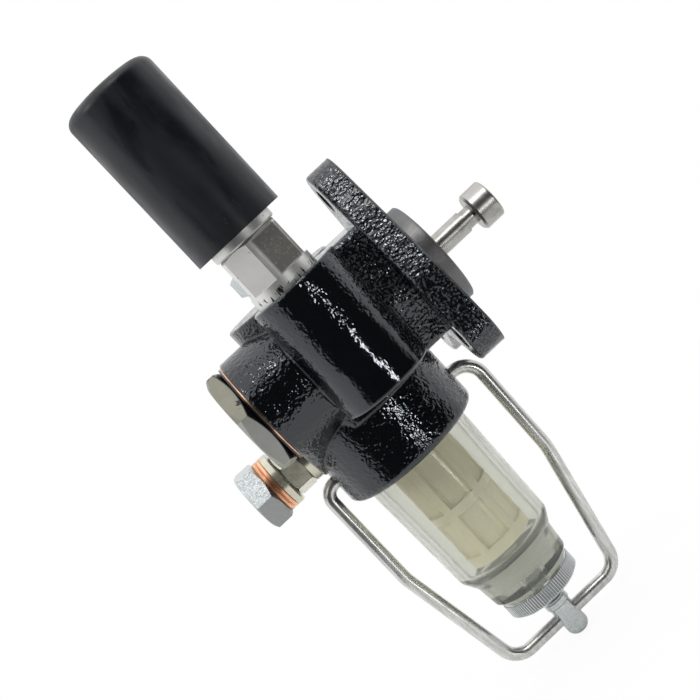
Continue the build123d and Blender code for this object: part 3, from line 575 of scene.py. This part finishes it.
def knurl_tree(sizes, counts):
    """Straight ribs round an upright rim: four-sided bars with one corner outwards."""
    tree, given = new_tree("straight_knurl", sizes, counts)
    inputs = {"Vertices": given["Ribs"], "Radius": given["Radius"]}
    rim = add(tree, "GeometryNodeMeshCircle", inputs)
    inputs = {"Vertices": 4, "Radius": given["Rib half width"], "Depth": given["Height"]}
    bar = add(tree, "GeometryNodeMeshCylinder", inputs)
    spot = add(tree, "GeometryNodeInputPosition")
    inputs = {"Vector": spot.outputs[0]}
    turn = add(tree, "FunctionNodeAlignEulerToVector", inputs, axis="X", pivot_axis="Z")
    inputs = {"Points": rim.outputs[0], "Instance": bar.outputs[0], "Rotation": turn.outputs[0]}
    ribs = add(tree, "GeometryNodeInstanceOnPoints", inputs)
    return end_tree(tree, given, ribs.outputs[0])


def swept(tree, curve, section):
    """A closed tube along a curve."""
    inputs = {"Curve": curve.outputs[0], "Profile Curve": section.outputs[0], "Fill Caps": True}
    return add(tree, "GeometryNodeCurveToMesh", inputs)


def thread_tree(sizes, counts):
    """A screw thread as one ridge wound up a stud."""
    tree, given = new_tree("stud_thread", sizes, counts)
    inputs = {
        "Resolution": 40,
        "Rotations": given["Turns"],
        "Start Radius": given["Radius"],
        "End Radius": given["Radius"],
        "Height": given["Length"],
    }
    helix = add(tree, "GeometryNodeCurveSpiral", inputs)
    inputs = {"Resolution": 3, "Radius": given["Ridge"]}
    ridge = add(tree, "GeometryNodeCurvePrimitiveCircle", inputs)
    return end_tree(tree, given, swept(tree, helix, ridge).outputs[0])


def gauze_tree(sizes, counts):
    """A woven tube: rings at even heights, crossed by upright strands."""
    tree, given = new_tree("strainer_weave", sizes, counts)
    step = math_of(tree, "DIVIDE", given["Height"], given["Rings"])
    up = add(tree, "ShaderNodeCombineXYZ", {2: step})
    inputs = {"Count": given["Rings"], "Offset": up.outputs[0]}
    heights = add(tree, "GeometryNodeMeshLine", inputs, mode="OFFSET")
    inputs = {"Resolution": 56, "Radius": given["Radius"]}
    ring = add(tree, "GeometryNodeCurvePrimitiveCircle", inputs)
    inputs = {"Points": heights.outputs[0], "Instance": ring.outputs[0]}
    rings = add(tree, "GeometryNodeInstanceOnPoints", inputs)
    inputs = {"Vertices": given["Uprights"], "Radius": given["Radius"]}
    around = add(tree, "GeometryNodeMeshCircle", inputs)
    top = add(tree, "ShaderNodeCombineXYZ", {2: given["Height"]})
    strand = add(tree, "GeometryNodeCurvePrimitiveLine", {"End": top.outputs[0]})
    inputs = {"Points": around.outputs[0], "Instance": strand.outputs[0]}
    strands = add(tree, "GeometryNodeInstanceOnPoints", inputs)
    both = add(tree, "GeometryNodeJoinGeometry")
    tree.links.new(rings.outputs[0], both.inputs[0])
    tree.links.new(strands.outputs[0], both.inputs[0])
    real = add(tree, "GeometryNodeRealizeInstances", {0: both.outputs[0]})
    inputs = {"Resolution": 4, "Radius": given["Strand radius"]}
    section = add(tree, "GeometryNodeCurvePrimitiveCircle", inputs)
    return end_tree(tree, given, swept(tree, real, section).outputs[0])


# Settings


class CastingSettings(bpy.types.PropertyGroup):
    paint_colour: FloatVectorProperty(
        name="Paint", description="Colour of the housing's gloss paint",
        subtype="COLOR", size=3, default=(0.002, 0.0023, 0.0034), min=0.0, max=1.0,
    )
    grain_size: FloatProperty(
        name="Grain size", description="Size of the sand grain under the paint, in millimetres",
        default=1.35, min=0.2, max=5.0,
    )
    grain_depth: FloatProperty(
        name="Grain depth", description="Depth of the sand grain, in millimetres",
        default=0.42, min=0.0, max=2.0,
    )
    edge_radius: FloatProperty(
        name="Edge radius", description="How far the cast edges look rounded",
        default=0.0012, min=0.0, max=0.005, unit="LENGTH",
    )


class SleeveSettings(bpy.types.PropertyGroup):
    sleeve_colour: FloatVectorProperty(
        name="Sleeve", description="Colour of the primer's sleeve knob",
        subtype="COLOR", size=3, default=(0.0025, 0.004, 0.008), min=0.0, max=1.0,
    )


class BowlSettings(bpy.types.PropertyGroup):
    glass_colour: FloatVectorProperty(
        name="Glass", description="Tint of the sediment bowl",
        subtype="COLOR", size=3, default=(0.93, 0.937, 0.905), min=0.0, max=1.0,
    )
    glass_depth_colour: FloatVectorProperty(
        name="Glass depth", description="Colour that thick glass turns towards",
        subtype="COLOR", size=3, default=(0.6, 0.61, 0.55), min=0.0, max=1.0,
    )
    glass_density: FloatProperty(
        name="Glass density", description="How fast the glass darkens with its thickness",
        default=90.0, min=0.0, max=1000.0,
    )
    glass_haze: FloatProperty(
        name="Glass haze", description="Share of dull bloom on the glass",
        default=0.1, min=0.0, max=1.0,
    )
    rings: IntProperty(
        name="Gauze rings", description="Strands round the strainer", default=52, min=4, max=200
    )
    uprights: IntProperty(
        name="Gauze uprights", description="Strands along the strainer", default=76, min=6, max=300
    )
    strand_radius: FloatProperty(
        name="Strand radius", description="Half the thickness of a gauze strand",
        default=0.00015, min=0.00002, max=0.001, unit="LENGTH",
    )


class NutSettings(bpy.types.PropertyGroup):
    ribs: IntProperty(
        name="Ribs", description="Knurl ribs round the clamp nut", default=92, min=12, max=240
    )
    rib_half_width: FloatProperty(
        name="Rib half width", description="From a rib's middle to its edge",
        default=0.0004, min=0.0001, max=0.002, unit="LENGTH",
    )
    thread_turns: FloatProperty(
        name="Thread turns", description="Turns of thread seen between nut and socket",
        default=3.0, min=1.0, max=12.0,
    )
    thread_ridge: FloatProperty(
        name="Thread ridge", description="Height of the thread's ridge",
        default=0.00034, min=0.00005, max=0.001, unit="LENGTH",
    )


class StudioSettings(bpy.types.PropertyGroup):
    backdrop: FloatVectorProperty(
        name="Backdrop", description="Colour seen behind the pump",
        subtype="COLOR", size=3, default=(1.0, 1.0, 1.0), min=0.0, max=1.0,
    )
    room_light: FloatProperty(
        name="Room light", description="Radiance of the pale room beside and behind the pump",
        default=1.05, min=0.0, max=2.0,
    )
    sky_light: FloatProperty(
        name="Sky light", description="Radiance of the bright ceiling",
        default=1.4, min=0.0, max=10.0,
    )
    dark_side: FloatProperty(
        name="Dark side", description="Radiance of the room behind the camera",
        default=0.03, min=0.0, max=1.0,
    )
    floor_reach: FloatProperty(
        name="Floor reach", description="Radius of the floor, which fades into the backdrop",
        default=0.22, min=0.1, max=5.0, unit="LENGTH",
    )
    floor_glow: FloatProperty(
        name="Floor glow", description="Share of plain backdrop colour in the floor's middle",
        default=0.93, min=0.0, max=1.0,
    )
    floor_gap: FloatProperty(
        name="Floor gap", description="From the pump's lowest point to the floor",
        default=0.0006, min=0.0, max=0.1, unit="LENGTH",
    )


# Operators


def round_piece(node):
    """The middle, radius and height of a CAD node that is round and upright."""
    low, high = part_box(node)
    return (low + high) / 2, (high.x - low.x) / 2, high.z - low.z


class FEEDPUMP_OT_casting(bpy.types.Operator):
    """Paint the cast housing."""

    bl_idname = "feedpump.casting"
    bl_label = "Paint the housing"

    def execute(self, context):
        dress(black_casting(context.scene.feedpump_casting), "pump_housing")
        return {"FINISHED"}


class FEEDPUMP_OT_metals(bpy.types.Operator):
    """Finish the rod, plugs, washers, hexagons, nut, stud and bail."""

    bl_idname = "feedpump.metals"
    bl_label = "Finish the metal pieces"

    def execute(self, context):
        rods = ("push_rod", "primer_rod", "feed_piston", "primer_piston")
        dress(polished_steel(), *rods, "inlet_valve", "outlet_valve")
        dress(wire_steel(), "bail_wire")

        low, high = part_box("plug_washer")
        dress(dull_zinc("dull_plate_painted", bevel_end=low.x), "screw_plug")
        dress(copper("soft_copper_painted", paint_until=high.x - 0.0004), "plug_washer")
        rings = ("inlet_washer_inner", "inlet_washer_outer", "outlet_plug_washer")
        dress(copper("soft_copper"), *rings)

        glossy = dull_zinc("dull_plate_glossy", shade=2.6, rough_low=0.16, rough_high=0.3)
        dress(glossy, "inlet_adapter")
        dress(bright_zinc("bright_zinc_plate"), "outlet_plug")
        # the inlet screw's lower hexagon face gets painted shade
        low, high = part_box("inlet_screw")
        worn_and_shaded = bright_zinc("bright_zinc_shaded_below", relief=2.2, shade_below=(low.z + high.z) / 2)
        dress(worn_and_shaded, "inlet_screw")
        dress(bright_zinc("bright_zinc_smooth", relief=0.5), "clamp_stud")
        middle, radius, _ = round_piece("clamp_nut")
        groove_shaded = bright_zinc("bright_zinc_groove_shaded", relief=0.5, grooves=(radius, middle.xy))
        dress(groove_shaded, "clamp_nut")

        top_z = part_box("primer_washer")[1].z
        dress(matt_aluminium("matt_alloy_washer", top_z), "primer_washer")
        dress(matt_aluminium("matt_alloy_base", top_z, dark_flat=True), "primer_base")
        dress(matt_aluminium("matt_alloy"), "primer_barrel", "primer_gland")

        steel = plain_metal("oiled_spring", (0.2, 0.2, 0.21), (0.36, 0.36, 0.37))
        dress(steel, "piston_spring", "inlet_valve_spring", "outlet_valve_spring")
        bronze = plain_metal("turned_bronze", (0.45, 0.3, 0.14), (0.6, 0.44, 0.24))
        dress(bronze, "rod_guide")
        dress(rubber(), "rod_seal", "primer_seal", "bowl_gasket")
        return {"FINISHED"}


class FEEDPUMP_OT_sleeve(bpy.types.Operator):
    """Finish the primer's black sleeve knob."""

    bl_idname = "feedpump.sleeve"
    bl_label = "Finish the sleeve knob"

    def execute(self, context):
        dress(knob_black(context.scene.feedpump_sleeve), "primer_knob")
        return {"FINISHED"}


class FEEDPUMP_OT_bowl(bpy.types.Operator):
    """Make the bowl clear, and weave the strainer's gauze inside it."""

    bl_idname = "feedpump.bowl"
    bl_label = "Glass bowl and gauze"

    def execute(self, context):
        s = context.scene.feedpump_bowl
        dress(clear_glass(s), "glass_bowl")
        moulded = cream_nylon("cream_nylon", (0.82, 0.755, 0.51), (0.87, 0.82, 0.6), 0.45)
        dress(moulded, "strainer_frame", "strainer_spigot")
        # painted light: the gauze and its strands are coloured lighter than the frame, to make up
        # for the shade inside the bowl
        gauze = cream_nylon("gauze_nylon_painted_light", (0.98, 0.91, 0.63), (0.98, 0.95, 0.72), 0.55)
        dress(gauze, "strainer_gauze")

        strands = cream_nylon("gauze_strands_painted_light", (0.97, 0.91, 0.66), (0.98, 0.95, 0.75), 0.4)
        middle, radius, height = round_piece("strainer_gauze")
        proud = 0.6 * s.strand_radius
        bottom_z = middle.z - height / 2
        sizes = {
            "Radius": radius + proud,
            "Height": height,
            "Strand radius": s.strand_radius,
            **place_of(middle.x, middle.y, bottom_z + s.strand_radius),
        }
        counts = {"Rings": s.rings, "Uprights": s.uprights}
        grow("gauze_weave", gauze_tree, sizes, counts, strands, "pump")
        return {"FINISHED"}


class FEEDPUMP_OT_nut(bpy.types.Operator):
    """Knurl the clamp nut, and cut the thread below it."""

    bl_idname = "feedpump.nut"
    bl_label = "Knurl and thread"

    def execute(self, context):
        s = context.scene.feedpump_nut
        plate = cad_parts["clamp_stud"].data.materials[0]
        middle, radius, height = round_piece("clamp_nut")
        sunk = 0.45 * s.rib_half_width
        sizes = {
            "Radius": radius - sunk,
            "Height": height - 2 * NUT_BEVEL,
            "Rib half width": s.rib_half_width,
            **place_of(*middle),
        }
        grow("nut_knurl", knurl_tree, sizes, {"Ribs": s.ribs}, plate, "nut")

        sunk = 0.1 * s.thread_ridge
        bottom_z = SOCKET_TOP_Z + THREAD_GAP
        top_z = middle.z - height / 2 - THREAD_GAP
        sizes = {
            "Radius": STUD_RADIUS - sunk,
            "Length": top_z - bottom_z,
            "Ridge": s.thread_ridge,
            **place_of(middle.x, middle.y, bottom_z),
        }
        counts = {"Turns": s.thread_turns}
        grow("stud_thread", thread_tree, sizes, counts, plate, "pump")
        return {"FINISHED"}


def white_to_camera(tree, share):
    """The share for rays that see the backdrop itself, from the camera or through glass; less for
    rays that were thrown about inside the glass, and 0 for others."""
    path = add(tree, "ShaderNodeLightPath").outputs
    seen = math_of(tree, "MAXIMUM", path["Is Camera Ray"], path["Is Transmission Ray"])
    glossy, depth = path["Is Glossy Ray"], path["Transmission Depth"]
    inside = math_of(tree, "MULTIPLY", glossy, depth, clamp=True)
    seen = math_of(tree, "MAXIMUM", seen, math_of(tree, "MULTIPLY", inside, 0.6))
    return math_of(tree, "MULTIPLY", seen, share)


def studio_world(s):
    """White where the camera looks past the pump; for light and reflections, bright overhead, pale
    beside and behind the pump, and dim on the camera's side."""
    world = bpy.data.worlds.new("studio")
    tree = emptied(world)
    way = add(tree, "ShaderNodeTexCoord").outputs["Generated"]
    x, y, z = add(tree, "ShaderNodeSeparateXYZ", {0: way}).outputs
    leaning = math_of(tree, "ADD", y, math_of(tree, "MULTIPLY", x, ROOM_LEAN))
    around = blend_value(tree, remap(tree, leaning, *ROOM_FROM_Y), s.dark_side, s.room_light)
    around = blend_value(tree, remap(tree, z, *SKY_FROM_Z), around, s.sky_light)
    lit = add(tree, "ShaderNodeBackground", {0: (1.0, 1.0, 1.0, 1.0), 1: around})
    white = add(tree, "ShaderNodeBackground", {0: rgba(s.backdrop), 1: 1.0})
    mixed = blend_shader(tree, white_to_camera(tree, 1.0), lit, white)
    add(tree, "ShaderNodeOutputWorld", {0: mixed.outputs[0]})
    return world


def floor_material(s):
    """Pale matt floor that reads as the backdrop, keeps the pump's soft shadow and is open from
    below."""
    material = bpy.data.materials.new("pale_floor")
    tree = emptied(material)
    place = add(tree, "ShaderNodeTexCoord").outputs["Object"]
    tone = blend_colour(tree, noise(tree, place, 60.0), (0.86, 0.86, 0.85), (0.9, 0.9, 0.895))
    matt = add(tree, "ShaderNodeBsdfDiffuse", {0: tone})
    glow = add(tree, "ShaderNodeEmission", {0: rgba(s.backdrop), 1: 1.0})
    out = add(tree, "ShaderNodeVectorMath", {0: place}, operation="LENGTH").outputs["Value"]
    share = remap(tree, out, 0.4 * s.floor_reach, 0.95 * s.floor_reach, s.floor_glow, 1.0)
    mixed = blend_shader(tree, white_to_camera(tree, share), matt, glow)
    below = add(tree, "ShaderNodeNewGeometry").outputs["Backfacing"]
    clear = add(tree, "ShaderNodeBsdfTransparent")
    open_below = blend_shader(tree, below, mixed, clear)
    add(tree, "ShaderNodeOutputMaterial", {0: open_below.outputs[0]})
    return material


def lay_floor(s, centre, z):
    """A round floor under the pump."""
    points = [(0.0, 0.0, 0.0)]
    for i in range(FLOOR_CORNERS):
        angle = 2 * math.pi * i / FLOOR_CORNERS
        points.append((s.floor_reach * math.cos(angle), s.floor_reach * math.sin(angle), 0.0))
    faces = [(0, i + 1, (i + 1) % FLOOR_CORNERS + 1) for i in range(FLOOR_CORNERS)]
    mesh = bpy.data.meshes.new("floor")
    mesh.from_pydata(points, [], faces)
    mesh.materials.append(floor_material(s))
    floor = bpy.data.objects.new("floor", mesh)
    floor.location = (centre.x, centre.y, z)
    bpy.context.scene.collection.objects.link(floor)
    floor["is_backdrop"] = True


def soft_lamp(name, towards, distance, size, watts, centre):
    """A rectangular soft lamp that looks at the pump's middle from a direction."""
    data = bpy.data.lights.new(name, "AREA")
    data.shape = "RECTANGLE"
    data.size, data.size_y = size
    data.energy = watts
    lamp = bpy.data.objects.new(name, data)
    away = Vector(towards).normalized()
    lamp.location = centre + away * distance
    lamp.rotation_euler = away.to_track_quat("Z", "Y").to_euler()
    bpy.context.scene.collection.objects.link(lamp)


def place_camera(scene):
    """The camera at the picture's angle, turned about the upright, tilted down and rolled."""
    turn, tilt, roll = map(math.radians, (CAMERA_TURN, CAMERA_TILT, CAMERA_ROLL))
    forward = Vector(
        (math.sin(turn) * math.cos(tilt), math.cos(turn) * math.cos(tilt), -math.sin(tilt))
    )
    level = Vector((math.cos(turn), -math.sin(turn), 0.0))
    upright = level.cross(forward)
    right = level * math.cos(roll) - upright * math.sin(roll)
    up = level * math.sin(roll) + upright * math.cos(roll)
    turned = Matrix((right, up, -forward)).transposed().to_4x4()
    data = bpy.data.cameras.new("camera")
    data.sensor_width = CAMERA_SENSOR
    data.lens = CAMERA_LENS
    data.clip_start, data.clip_end = 0.01, 50.0
    camera = bpy.data.objects.new("camera", data)
    camera.matrix_world = Matrix.Translation(CAMERA_PLACE) @ turned
    scene.collection.objects.link(camera)
    scene.camera = camera


class FEEDPUMP_OT_studio(bpy.types.Operator):
    """Set the floor, the soft lamps, the pale surroundings and the camera."""

    bl_idname = "feedpump.studio"
    bl_label = "Studio and camera"

    def execute(self, context):
        s = context.scene.feedpump_studio
        scene = context.scene
        scene.world = studio_world(s)
        scene.view_settings.view_transform = "Standard"
        low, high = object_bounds()
        centre = (low + high) / 2
        lay_floor(s, centre, low.z - s.floor_gap)
        for lamp in LAMPS:
            soft_lamp(*lamp, centre)
        place_camera(scene)
        return {"FINISHED"}


class FEEDPUMP_PT_looks(bpy.types.Panel):
    """Lists the operators and their settings."""

    bl_label = "Feed pump"
    bl_idname = "FEEDPUMP_PT_looks"
    bl_space_type = "VIEW_3D"
    bl_region_type = "UI"
    bl_category = "Feed pump"

    def draw(self, context):
        layout = self.layout
        for operator in OPERATORS:
            layout.operator(operator.bl_idname)
        for name, group in SETTINGS.items():
            box = layout.box()
            for label in group.__annotations__:
                box.prop(getattr(context.scene, name), label)


SETTINGS = {
    "feedpump_casting": CastingSettings,
    "feedpump_sleeve": SleeveSettings,
    "feedpump_bowl": BowlSettings,
    "feedpump_nut": NutSettings,
    "feedpump_studio": StudioSettings,
}
OPERATORS = (
    FEEDPUMP_OT_casting,
    FEEDPUMP_OT_metals,
    FEEDPUMP_OT_sleeve,
    FEEDPUMP_OT_bowl,
    FEEDPUMP_OT_nut,
    FEEDPUMP_OT_studio,
)


def register():
    for kind in (*SETTINGS.values(), *OPERATORS, FEEDPUMP_PT_looks):
        bpy.utils.register_class(kind)
    for name, group in SETTINGS.items():
        setattr(bpy.types.Scene, name, PointerProperty(type=group))


def unregister():
    for name in SETTINGS:
        delattr(bpy.types.Scene, name)
    for kind in (FEEDPUMP_PT_looks, *reversed(OPERATORS), *SETTINGS.values()):
        bpy.utils.unregister_class(kind)


def main():
    register()
    bpy.ops.feedpump.casting()
    bpy.ops.feedpump.metals()
    bpy.ops.feedpump.sleeve()
    bpy.ops.feedpump.bowl()
    bpy.ops.feedpump.nut()
    bpy.ops.feedpump.studio()


if __name__ == "__main__":
    main()
